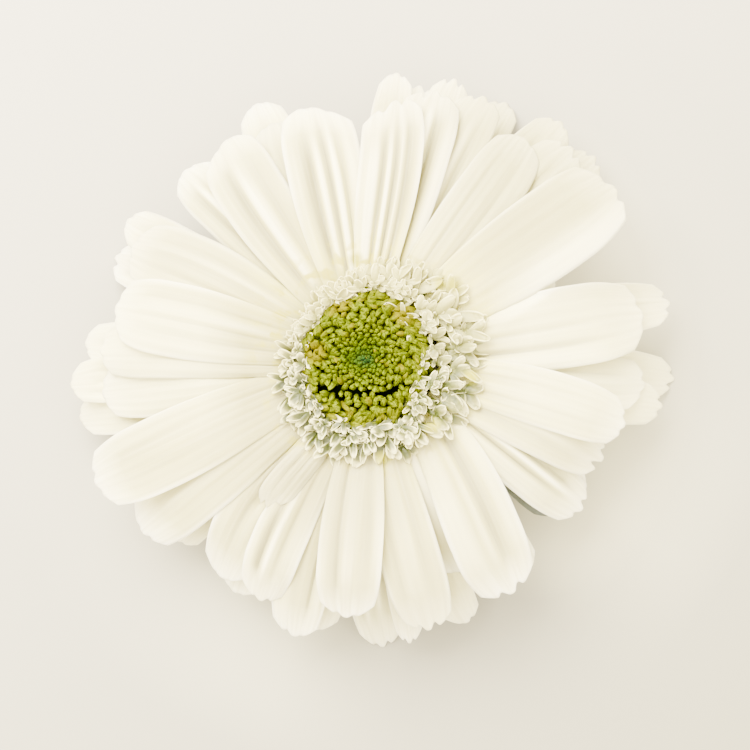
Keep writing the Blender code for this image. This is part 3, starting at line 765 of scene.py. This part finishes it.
def guides_mesh(turns, stretches, picks):
    """Points at the middle of the flower, one for each repeat, with how it is turned, stretched
    outwards and picked."""
    mesh = bpy.data.meshes.new("guides")
    mesh.from_pydata([(0.0, 0.0, 0.0)] * len(turns), [], [])
    for label, kind, values in (
        ("turn", "FLOAT", turns),
        ("stretch", "FLOAT", stretches),
        ("pick", "INT", picks),
    ):
        mesh.attributes.new(label, kind, "POINT").data.foreach_set("value", values)
    return mesh


def round_tree():
    """Stands a picked shape at each guide point, turned about the flower's axis."""
    tree = Shapes("round_the_axis")
    seed, spread, lean = tree.size("Seed", "Int"), tree.size("Size spread"), tree.size("Lean")
    grow = tree.random(1.0 - spread, spread + 1.0, seed)
    tip = tree.random(lean * -1.0, lean, seed + 1.0)
    turn = tree.combine(0.0, tip, tree.named("turn"))
    stretch = tree.named("stretch")
    scale = tree.combine(stretch, stretch * grow, 1.0)
    return tree.finish(tree.set_out(tree.geometry, tree.named("pick", "INT"), turn, scale))


def off_furrow(furrow, x, y):
    """How far a point of the disc is from the middle line of a furrow."""
    aside = x - furrow.at * MM
    return abs(y - (aside * aside * (furrow.rise / MM) + furrow.low * MM))


def spiral_tree():
    """Sets buds over the dome in a golden-angle spiral, upright in the middle and leaning out at
    the rim, and leaves the furrows free."""
    tree = Shapes("bud_spiral")
    count, seed = tree.size("Count", "Int"), tree.size("Seed", "Int")
    points = tree.add("GeometryNodePoints", {"Count": count})
    index = tree.add("GeometryNodeInputIndex")
    share = tree.calc("POWER", tree.calc("DIVIDE", index + 0.5, count), tree.size("Spread"))
    turn = index * GOLDEN_ANGLE + tree.random(-0.05, 0.05, seed)
    east, north = tree.calc("COSINE", turn), tree.calc("SINE", turn)
    out = tree.size("Disc radius") * share
    x, y = out * east, out * north * tree.size("Longer")
    drop = tree.size("Fall") * tree.calc("POWER", share, DOME_POWER)
    near = tree.calc("POWER", tree.calc("DIVIDE", share, DIMPLE_RADIUS / DOME_RIM_RADIUS), 2.0)
    dip = tree.size("Dimple") * tree.calc("EXPONENT", near * -1.0)
    spot = tree.combine(x, y, tree.size("Height") - drop - dip)
    moved = tree.add("GeometryNodeSetPosition", {"Geometry": points, "Position": spot})
    inside = 0.0
    for furrow in FURROWS:
        half = x.by_mm(furrow.left, furrow.right, furrow.half[0] * MM, furrow.half[1] * MM)
        hit = tree.calc("LESS_THAN", off_furrow(furrow, x, y), half)
        hit = hit * tree.calc("GREATER_THAN", x, furrow.left * MM)
        hit = hit * tree.calc("LESS_THAN", x, furrow.right * MM)
        inside = tree.calc("MAXIMUM", inside, hit)
    left = tree.add("GeometryNodeDeleteGeometry", {"Geometry": moved, "Selection": inside})
    pull = tree.size("Lean out") * tree.calc("POWER", share, 1.5)
    east = pull * east + tree.random(-0.5, 0.5, seed + 7.0)
    north = pull * north + tree.random(-0.5, 0.5, seed + 8.0)
    spin = tree.combine(0.0, 0.0, tree.random(0.0, math.tau, seed + 3.0))
    feeds = {0: tree.upright(tree.combine(east, north, 1.0)), 1: spin}
    stand = tree.add("FunctionNodeRotateRotation", feeds, rotation_space="LOCAL")
    grow = share.to(0.0, 1.0, tree.size("Size in the middle"), tree.size("Size at the rim"))
    grow = grow * tree.random(0.85, 1.15, seed + 5.0)
    size = tree.combine(grow * 1.15, grow * 0.85, grow)
    feeds = {4: 0, 5: BUD_SHAPES - 1, "Seed": seed}
    pick = tree.add("FunctionNodeRandomValue", feeds, 2, data_type="INT")
    placed = tree.set_out(left, pick, stand, size)
    feeds = {"Geometry": placed, "Name": "each", "Value": tree.random(0.0, 1.0, seed)}
    told = tree.add("GeometryNodeStoreNamedAttribute", feeds, domain="INSTANCE")
    return tree.finish(told)


def hair_tree():
    """Grows fine hairs out of a surface, pressed a little upwards."""
    tree = Shapes("hairs")
    seed = tree.size("Seed", "Int")
    feeds = {"Mesh": tree.geometry, "Density": tree.size("Density"), "Seed": seed}
    spots = tree.add("GeometryNodeDistributePointsOnFaces", feeds)
    height = tree.parts(tree.add("GeometryNodeInputPosition"))[2]
    feeds = {0: height, 1: tree.size("Lowest")}
    low = tree.add("FunctionNodeCompare", feeds, operation="LESS_THAN")
    kept = tree.add("GeometryNodeDeleteGeometry", {"Geometry": spots, "Selection": low})
    feeds = {0: (-0.5, -0.5, -0.1), 1: (0.5, 0.5, 0.7), "Seed": seed}
    bend = tree.add("FunctionNodeRandomValue", feeds, data_type="FLOAT_VECTOR")
    stand = tree.upright(tree.vector("ADD", spots.other("Normal"), bend))
    feeds = {"Vertices": 3, "Radius Top": 0.004 * MM, "Radius Bottom": tree.size("Thickness")}
    hair = tree.add("GeometryNodeMeshCone", feeds | {"Depth": tree.size("Length")})
    feeds = {"Points": kept, "Instance": hair, "Rotation": stand}
    feeds["Scale"] = tree.random(0.4, 1.0, seed + 2.0)
    return tree.finish(tree.add("GeometryNodeInstanceOnPoints", feeds))


class Finish(Graph):
    """A material: a Principled shader and the nodes that feed it. It is painted in layers, and
    tint is the colour so far. The scatter is a weight, a radius for each colour and a scale."""

    def __init__(self, name, roughness, scatter=(), specular=None):
        self.look = bpy.data.materials.new(name)
        self.look.use_nodes = True
        super().__init__(self.look.node_tree)
        self.shader = self.group.nodes["Principled BSDF"]
        values = {"Roughness": roughness}
        values |= zip(("Subsurface Weight", "Subsurface Radius", "Subsurface Scale"), scatter)
        if specular is not None:
            values["Specular IOR Level"] = specular
        for label, value in values.items():
            self.shader.inputs[label].default_value = value

    def spot(self):
        return self.add("ShaderNodeTexCoord", out="Object")

    def values(self, *names):
        return [self.add("ShaderNodeAttribute", out="Fac", attribute_name=name) for name in names]

    def ramp(self, value, *stops):
        colour = self.add("ShaderNodeValToRGB", {"Fac": value})
        ramp = colour.socket.node.color_ramp
        while len(ramp.elements) < len(stops):
            ramp.elements.new(1.0)
        for element, (spot, shade) in zip(ramp.elements, stops):
            element.position = spot
            element.color = (*shade, 1.0)
        return colour

    def mix(self, share, low, high):
        feeds = {0: share, 6: low, 7: high}
        feeds = {key: (*v, 1.0) if isinstance(v, tuple) else v for key, v in feeds.items()}
        return self.add("ShaderNodeMix", feeds, 2, data_type="RGBA")

    def paint(self, share, colour):
        """Covers a share of the tint with a colour."""
        self.tint = self.mix(share, self.tint, colour)

    def noise(self, scale, detail=2.0, vector=None):
        feeds = {"Vector": vector or self.spot(), "Scale": scale, "Detail": detail}
        return self.add("ShaderNodeTexNoise", feeds)

    def near(self, spot, place, far, close, most=1.0):
        """A share that grows from 0 at one distance from a place to most at a smaller one. Both
        distances and the place are in millimetres."""
        off = self.vector("DISTANCE", spot, Vector(place) * MM, out="Value")
        return off.by_mm(far, close, 0.0, most)

    def finish(self, height=None, distance=0.0, strength=1.0):
        """Ends the material with its tint and with the bumps of a height."""
        ends = {"Base Color": self.tint}
        if height:
            feeds = {"Height": height, "Distance": distance, "Strength": strength}
            ends["Normal"] = self.add("ShaderNodeBump", feeds)
        for label, value in ends.items():
            self.group.links.new(value.socket, self.shader.inputs[label])
        return self.look


def stain_ring(made, x, y):
    """Paints the yellow stains that lie round the ring."""
    flat, drops = made.combine(x, y, 0.0), 0.0
    for place in STAIN_SPOTS:
        drops = made.calc("MAXIMUM", drops, made.near(flat, (*place, 0.0), 1.8, 0.6, 0.85))
    made.paint(drops, (0.33, 0.325, 0.0))


def petal_finish():
    made = Finish("petal", 0.5, (0.7, (1.0, 0.95, 0.8), 0.0006), 0.3)
    along, across, tone, dip = made.values("along", "across", "tone", "dip")
    edge, spot = abs(across), made.spot()
    x, y, _ = made.parts(spot)
    made.tint = made.ramp(
        along,
        (0.0, (0.42, 0.44, 0.05)),
        (0.1, (0.68, 0.655, 0.185)),
        (0.3, (0.52, 0.50, 0.215)),
        (0.7, (0.52, 0.505, 0.265)),
        (1.0, (0.76, 0.745, 0.46)),
    )
    made.paint(edge.to(0.3, 1.0) * along.to(0.4, 0.1), (0.72, 0.71, 0.21))
    # Painted shade in the grooves, and painted highlights on the crests, rims and tips.
    made.paint(dip.to(0.0, 1.0, 0.0, 0.9), (0.22, 0.21, 0.11))
    made.paint(dip.to(0.0, -0.8, 0.0, 0.95), (0.98, 0.955, 0.70))
    rim = made.calc("MAXIMUM", edge.to(0.84, 1.0), along.to(0.78, 0.98))
    made.paint(rim * along.to(0.2, 0.5), (0.98, 0.96, 0.75))
    # Shaded roots, and stains near the ring.
    made.paint(made.near(spot, SHADED_ROOTS, 28.0, 14.0, 0.7), (0.25, 0.235, 0.11))
    reach = made.vector("LENGTH", spot, out="Value")
    stain = made.noise(420.0, 1.0).to(0.54, 0.64) * reach.by_mm(32.0, 28.5, 0.0, 0.85)
    made.paint(stain, (0.46, 0.43, 0.01))
    stain_ring(made, x, y)
    # Veins, and a cast that differs from petal to petal. Both leave the crests bright.
    plain = dip.to(0.0, -0.8, 1.0, 0.2)
    veins = made.noise(1.0, 2.0, made.combine(across * 9.0, along * 1.6, tone))
    made.paint(plain * veins.to(0.4, 0.7, 0.0, 0.45), (0.55, 0.525, 0.34))
    cast = made.noise(0.4, 1.0, made.combine(tone, along * 1.5, 0.0))
    made.paint(plain * cast.to(0.4, 0.62, 0.0, 0.5), (0.50, 0.48, 0.28))
    # Painted light on the petals to both sides, and painted shade on those towards +X and +Y.
    sides = abs(y).by_mm(18.0, 8.0, 0.0, 0.6) * abs(x).by_mm(22.0, 30.0)
    made.paint(sides, (0.84, 0.82, 0.52))
    corner_shade = (x + y).by_mm(25.0, 50.0) * x.by_mm(12.0, 22.0, 0.15, 0.6)
    made.paint(corner_shade * y.by_mm(9.0, 17.0, 0.2, 1.0), (0.40, 0.385, 0.20))
    # A painted highlight along one side of the broadest petal.
    turn = math.radians(max(UPPER_PETALS, key=lambda petal: petal.width).azimuth)
    aside = x * math.sin(turn) - y * math.cos(turn)
    bright = aside.by_mm(1.0, 5.5) * aside.by_mm(10.0, 9.0) * x.by_mm(22.0, 32.0, 0.0, 0.75)
    made.paint(bright, (0.96, 0.94, 0.69))
    # One low petal lies in deep shade.
    deep = tone.to(SHADED - 1, SHADED) * across.to(0.3, -0.1) * along.to(0.45, 0.55)
    made.paint(deep, (0.095, 0.112, 0.102))
    return made.finish(veins, 0.0003, 0.3)


def floret_finish():
    made = Finish("trans_floret", 0.45, (0.15, (1.0, 0.95, 0.6), 0.0004))
    along, across = made.values("along", "across")
    edge = abs(across)
    x, y, _ = made.parts(made.spot())
    # Green tubes and lobe bases, darkened further as painted shade between the florets, and paler
    # towards the tips.
    made.tint = made.ramp(
        along,
        (0.0, (0.04, 0.06, 0.002)),
        (0.45, (0.035, 0.05, 0.003)),
        (0.6, (0.04, 0.055, 0.005)),
        (0.76, (0.22, 0.22, 0.075)),
        (0.9, (0.50, 0.48, 0.24)),
    )
    mottle = made.noise(1300.0, 2.0)
    made.paint(mottle.to(0.5, 0.58, 0.0, 0.75), (0.12, 0.135, 0.03))
    # Painted light towards +Y; painted shade below, and painted highlights at the tips, on the
    # other side.
    made.paint(y.by_mm(-4.0, 12.0, 0.0, 0.75) * along.to(0.2, 0.6), (0.46, 0.445, 0.155))
    side = x * 0.7 + y
    low = edge.to(0.95, 0.5) * along.to(0.82, 0.64) * side.by_mm(-2.0, -13.0, 0.0, 0.95)
    made.paint(low, (0.034, 0.046, 0.006))
    made.paint(along.to(0.74, 0.86) * side.by_mm(0.0, -10.0, 0.0, 0.5), (0.80, 0.78, 0.42))
    # Painted highlights on the edges and tips of the lobes.
    rim = made.calc("MAXIMUM", edge.to(0.65, 1.0), along.to(0.9, 1.0))
    made.paint(rim * along.to(0.55, 0.8), (0.85, 0.825, 0.44))
    stain_ring(made, x, y)
    return made.finish(mottle, 0.0003, 0.5)


def bud_finish():
    made = Finish("bud", 0.5, (0.1, (0.6, 0.8, 0.02), 0.0004), 0.0)
    along, across, each = made.values("along", "across", "each")
    # How far out the bud stands, with some wander: skin is its body colour there, and the next ramp
    # the colour of the painted highlight on its rim.
    flat = made.vector("MULTIPLY", made.spot(), (1.0, 1.0, 0.0))
    wander = made.noise(260.0).to(0.3, 0.7, -1.2 * MM, 1.2 * MM)
    out = (made.vector("LENGTH", flat, out="Value") + wander).by_mm(0.0, 12.0)
    skin = made.ramp(
        out,
        (0.0, (0.006, 0.027, 0.011)),
        (0.18, (0.022, 0.044, 0.001)),
        (0.42, (0.052, 0.075, 0.0)),
        (0.8, (0.064, 0.09, 0.0)),
        (1.0, (0.09, 0.105, 0.0)),
    )
    bud_highlight = made.ramp(
        out,
        (0.0, (0.012, 0.055, 0.017)),
        (0.2, (0.066, 0.11, 0.0)),
        (0.45, (0.148, 0.192, 0.0)),
        (0.8, (0.152, 0.19, 0.0)),
        (1.0, (0.18, 0.20, 0.0)),
    )
    # Darker low on each bud, as painted shade between the buds.
    made.tint = made.mix(along.to(0.0, 0.4), (0.03, 0.042, 0.0), skin)
    # A fine grain of painted highlight, painted highlights round the top of each bud, broken up in
    # patches, and a fine grain of darker spots.
    grain = made.noise(2200.0, 1.0)
    made.paint(grain.to(0.5, 0.7, 0.0, 0.6), bud_highlight)
    highlight_patches = made.noise(900.0, 1.0).to(0.3, 0.6, 0.3, 1.0)
    made.paint(along.to(0.56, 0.72) * along.to(1.0, 0.86) * highlight_patches, bud_highlight)
    made.paint(grain.to(0.5, 0.3, 0.0, 0.6), (0.03, 0.044, 0.0))
    # Seams, darker buds and riper ones.
    made.paint(across.to(0.5, 1.0) * 0.7, (0.025, 0.032, 0.0))
    made.paint(each.to(0.0, 0.5, 0.45, 0.0), (0.036, 0.048, 0.0))
    ripe = each.to(0.88, 1.0, 0.0, 0.6)
    for place in RIPE_SPOTS:
        ripe = made.calc("MAXIMUM", ripe, made.near(flat, (*place, 0.0), 2.8, 1.2, 0.7))
    made.paint(ripe, (0.118, 0.102, 0.0))
    return made.finish(grain, 0.0002, 0.7)


def floor_finish():
    """The disc between its buds, painted nearly black as shade, and darkest, as painted shade,
    under the furrows.
    """
    made = Finish("disc_floor", 0.7, specular=0.0)
    made.tint = made.mix(made.noise(700.0, 3.0), (0.006, 0.010, 0.001), (0.020, 0.028, 0.001))
    x, y, _ = made.parts(made.spot())
    # Painted shade in the furrows.
    for furrow in FURROWS:
        made.paint(off_furrow(furrow, x, y).by_mm(1.9, 1.1), (0.0006, 0.0012, 0.0003))
    return made.finish()


def bract_finish():
    made = Finish("bract", 0.5, (0.05, (0.4, 0.8, 0.1), 0.001))
    along, across = made.values("along", "across")
    made.tint = made.ramp(
        along, (0.0, (0.20, 0.32, 0.08)), (0.6, (0.13, 0.25, 0.05)), (1.0, (0.17, 0.13, 0.05))
    )
    veins = made.noise(1.0, 2.0, made.combine(across * 14.0, along * 3.0, 0.0))
    made.paint(veins.to(0.3, 0.7, 0.0, 0.5), (0.24, 0.36, 0.12))
    return made.finish(veins, 0.0003, 0.5)


def stem_finish():
    """Streaked skin, and a paler cut face."""
    made = Finish("stem", 0.5, (0.08, (0.5, 0.8, 0.2), 0.001))
    x, y, z = made.parts(made.spot())
    streaks = made.noise(1.0, 3.0, made.combine(x * 2500.0, y * 2500.0, z * 300.0))
    made.tint = made.mix(streaks.to(0.3, 0.7), (0.20, 0.33, 0.09), (0.33, 0.44, 0.16))
    made.paint(z.by_mm(0.0, 0.5, 1.0, 0.0), (0.55, 0.62, 0.36))
    return made.finish(streaks, 0.0002, 0.5)


def hair_finish(name):
    made = Finish(name, 0.6)
    made.tint = made.mix(made.noise(900.0, 3.0), (0.62, 0.68, 0.5), (0.75, 0.78, 0.66))
    return made.finish()


def paper_finish():
    """Pale paper with painted shade towards the lower right, and painted light close to the flower
    that lessens it.
    """
    made = Finish("paper", 0.9)
    spot = made.spot()
    x, y, _ = made.parts(spot)
    made.tint = made.mix(made.noise(90.0, 3.0), (0.43, 0.422, 0.407), (0.45, 0.442, 0.427))
    # Painted shade towards the lower right.
    shade = (x * 0.6 - y).to(-0.11, 0.11)
    made.paint(shade, (0.25, 0.25, 0.205))
    middle, painted_paper_light = (0.0, 0.0, 0.0), (0.65, 0.645, 0.49)
    # Painted light close to the flower, which lessens the painted shade, but not in the direction
    # where the key light's shadow falls.
    unit = made.vector("NORMALIZE", spot)
    below = made.vector("DOT_PRODUCT", unit, (0.342, -0.94, 0.0), out="Value")
    more = below.to(0.4, 0.64, 1.0, 2.0) - below.to(0.8, 0.97, 0.0, 2.0)
    made.paint(made.near(spot, middle, 76.0, 50.0, 0.32) * shade * more, painted_paper_light)
    # Painted light on patches of paper near the flower, which lessens its shadow there.
    made.paint(made.near(spot, (35.5, 15.5, 0.0), 14.0, 6.0, 0.7), (0.80, 0.79, 0.70))
    made.paint(made.near(spot, (30.0, -31.0, 0.0), 13.0, 4.0, 0.4), painted_paper_light)
    made.paint(made.near(spot, middle, 60.0, 48.0, 0.5) * x.by_mm(30.0, 42.0), painted_paper_light)
    return made.finish()


def ready(obj, node):
    obj.data.shade_smooth()
    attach(obj, "root")
    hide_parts(node)


def place(name, mesh, look, node, slot):
    obj = linked(name, mesh)
    mesh.materials.append(look)
    ready(obj, node)


def petals():
    look = petal_finish()
    for name, mesh in petal_meshes().items():
        place(name, mesh, look, "ray_florets", "petal")


def repeats(rows, shape, kinds, shift, wander, draw):
    """Draws some kinds of a shape for each row, and the turn and kind of each repeat in it. A row
    is shifted from the one before by a share of a step. Also gives the row of each repeat."""
    shapes, turns, picks, owners = [], [], [], []
    for number, row in enumerate(rows):
        shapes += [shape(row, draw) for _ in range(kinds)]
        for k in range(row.count):
            step = k + shift * number + draw.uniform(-wander, wander)
            turns.append(math.tau * step / row.count)
            picks.append(number * kinds + int(draw.integers(kinds)))
            owners.append(row)
    return shapes, turns, picks, owners


def ring_stretch(row, turn):
    """How far out a trans floret stands where the ring is uneven, as a share of its row's size."""
    more = 0.0
    for high, azimuth, waves in RING_WAVES:
        more += high / RING_EDGE * math.cos(waves * (turn - math.radians(azimuth)))
    taller = DISC_TALLER * math.cos(2.0 * turn) * (1.0 - row.follows)
    return 1.0 + more * row.follows - taller


def trans_florets():
    draw = np.random.default_rng(TRANS_SEED)
    shapes, turns, picks, rows = repeats(TRANS_ROWS, trans_floret, TRANS_SHAPES, 0.5, 0.3, draw)
    stretches = [ring_stretch(row, turn) for row, turn in zip(rows, turns)]
    obj = round_tree().make_from(
        shapes,
        "trans_florets_white",
        guides_mesh(turns, stretches, picks),
        Seed=3,
        Size_spread=0.15,
        Lean=0.04,
        Material=floret_finish(),
    )
    ready(obj, "trans_florets")


def floor_height(radius):
    """The height of the disc's floor, under the dome of buds."""
    fall = (DOME_HEIGHT - DOME_RIM_HEIGHT) * (radius / DOME_RIM_RADIUS) ** DOME_POWER
    dome = DOME_HEIGHT - fall - DIMPLE_DEPTH * math.exp(-((radius / DIMPLE_RADIUS) ** 2))
    return dome - FLOOR_DEPTH


def disc():
    draw = np.random.default_rng(BUD_SEED)
    obj = spiral_tree().make_from(
        [bud(draw, 0.2 * k) for k in range(BUD_SHAPES)],
        "disc_buds",
        bpy.data.meshes.new("none"),
        Count=BUD_COUNT,
        Disc_radius=DISC_RADIUS * MM,
        Spread=BUD_SPREAD,
        Height=BUD_HEIGHT * MM,
        Fall=(DOME_HEIGHT - DOME_RIM_HEIGHT) * MM,
        Dimple=DIMPLE_DEPTH * MM,
        Longer=1.07,
        Size_in_the_middle=0.72,
        Size_at_the_rim=1.6,
        Seed=4,
        Lean_out=1.1,
        Material=bud_finish(),
    )
    ready(obj, "disc_florets")
    profile = [(0.0, FLORET_FLOOR), (9.2, FLORET_FLOOR), (9.4, 21.0), (11.0, 22.2)]
    profile += [(radius, floor_height(radius)) for radius in np.linspace(11.0, 0.0, 12)]
    look = floor_finish()
    place("disc_floor", turned_mesh("disc_floor", profile, 48), look, "disc_florets", "bud")


def hairs(name, mesh, look, node, slot, **sizes):
    """Fine hairs all over a surface, but none beside the cut face."""
    tree, lowest = hair_tree(), HAIRLESS * MM
    obj = tree.make(name, mesh, Lowest=lowest, Material=hair_finish(look), **sizes)
    ready(obj, node)


def involucre():
    draw = np.random.default_rng(BRACT_SEED)
    shapes, turns, picks, _ = repeats(BRACT_ROWS, bract, BRACT_SHAPES, 0.37, 0.06, draw)
    look = bract_finish()
    bracts = round_tree().make_from(
        shapes,
        "bracts",
        guides_mesh(turns, [1.0] * len(turns), picks),
        Seed=5,
        Size_spread=0.08,
        Lean=0.0,
        Material=look,
    )
    ready(bracts, "involucre")
    size = {"Length": 1.1 * MM, "Thickness": 0.035 * MM, "Density": 2.2e6}
    hairs("bract_hairs", bracts.data.copy(), "hair", "involucre", "bract", Seed=6, **size)
    outside = [cup_point(a) for a in np.linspace(CUP_FIRST_ANGLE, 90.0, 12)]
    profile = [(0.0, CUP_HOLLOW), (3.6, CUP_HOLLOW), (3.6, outside[0][1])] + outside
    profile += [(13.6, CUP_TOP + 0.1), (0.0, CUP_TOP + 0.1)]
    cup = turned_mesh("cup", profile, 160, lambda turn, height: 0.012 * np.cos(40 * turn))
    place("cup", cup, look, "involucre", "bract")


def stem():
    profile = [(0.0, 1.6), (0.55, 1.5), (0.75, 0.25), (1.0, 0.0), (3.0, 0.0), (3.2, 0.12)]
    for z in np.linspace(0.4, STEM_TOP, 12):
        profile.append((STEM_RADIUS - 0.1 * math.sin(math.pi * (z - 0.4) / 6.5), z))
    profile += [(0.0, STEM_TOP)]
    mesh = turned_mesh(
        "stem_stub", profile, 72, lambda turn, height: 0.022 * np.cos(STEM_RIBS * turn) - 0.022
    )
    size = {"Length": 0.8 * MM, "Thickness": 0.03 * MM, "Density": 4.0e6}
    hairs("stem_hairs", mesh.copy(), "stem_hair", "stem", "stem", Seed=9, **size)
    place("stem_stub", mesh, stem_finish(), "stem", "stem")


def camera():
    lens = bpy.data.cameras.new("camera")
    obj = linked("camera", lens)
    out, up = math.sin(CAMERA_LEAN), math.cos(CAMERA_LEAN)
    back = Vector((out * math.cos(CAMERA_SIDE), out * math.sin(CAMERA_SIDE), up))
    right = Vector((0.0, 1.0, 0.0)).cross(back).normalized()
    turn = Matrix((right, back.cross(right), back)).transposed().to_4x4()
    obj.matrix_world = Matrix.Translation(AIM + back * CAMERA_DISTANCE) @ turn
    lens.sensor_width = SENSOR
    lens.lens = SENSOR * CAMERA_DISTANCE / (PIXEL * PICTURE_PIXELS)
    lens.clip_start = 0.01
    bpy.context.scene.camera = obj


def key_light():
    data = bpy.data.lights.new("key", "AREA")
    data.shape = "DISK"
    data.size = KEY_SIZE
    data.energy = KEY_POWER
    data.color = KEY_COLOUR
    obj = linked("key", data)
    obj.location = KEY_PLACE
    aim = Vector((0.0, 0.0, 0.01)) - Vector(KEY_PLACE)
    obj.rotation_euler = aim.to_track_quat("-Z", "Y").to_euler()


def studio():
    mesh = bpy.data.meshes.new("floor")
    half = FLOOR_HALF
    corners = [(-half, -half, 0), (half, -half, 0), (half, half, 0), (-half, half, 0)]
    mesh.from_pydata(corners, [], [(0, 1, 2, 3)])
    floor = linked("floor", mesh)
    mesh.materials.append(paper_finish())
    world = bpy.data.worlds.new("studio")
    world.use_nodes = True
    sky = world.node_tree.nodes["Background"]
    sky.inputs["Color"].default_value = SKY_COLOUR
    sky.inputs["Strength"].default_value = SKY_STRENGTH
    bpy.context.scene.world = world
    key_light()


camera()
studio()
petals()
trans_florets()
disc()
involucre()
stem()
